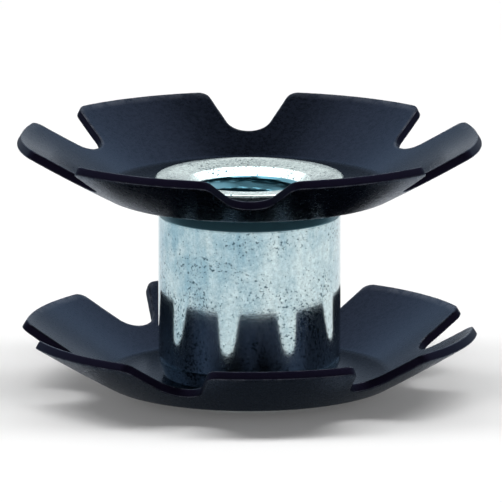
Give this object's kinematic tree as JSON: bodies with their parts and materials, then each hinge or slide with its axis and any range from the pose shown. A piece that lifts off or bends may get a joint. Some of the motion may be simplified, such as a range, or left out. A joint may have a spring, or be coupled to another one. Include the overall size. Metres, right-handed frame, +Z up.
{
  "type": "star nut",
  "caption": "Star nut: a threaded steel barrel with dished, lobed spring-steel star washers riveted to its ends, pressed into a fork's steering tube to anchor the headset bolt.",
  "frame": {"origin": "on the barrel's axis, at the underside of the lower rivet head, on which the nut stands", "axes": "+Z up along the barrel's axis, in the direction in which the star washers are dished; -Y faces the picture's viewer"},
  "size_m": [0.0254, 0.025, 0.0143],
  "materials": {
    "zinc_plated_steel": "bright zinc plate, finely pitted",
    "black_spring_steel": "satin black oxide"
  },
  "bodies": {
    "root": {"barrel": "zinc_plated_steel", "upper_star_washer": "black_spring_steel", "lower_star_washer": "black_spring_steel"}
  },
  "joints": []
}
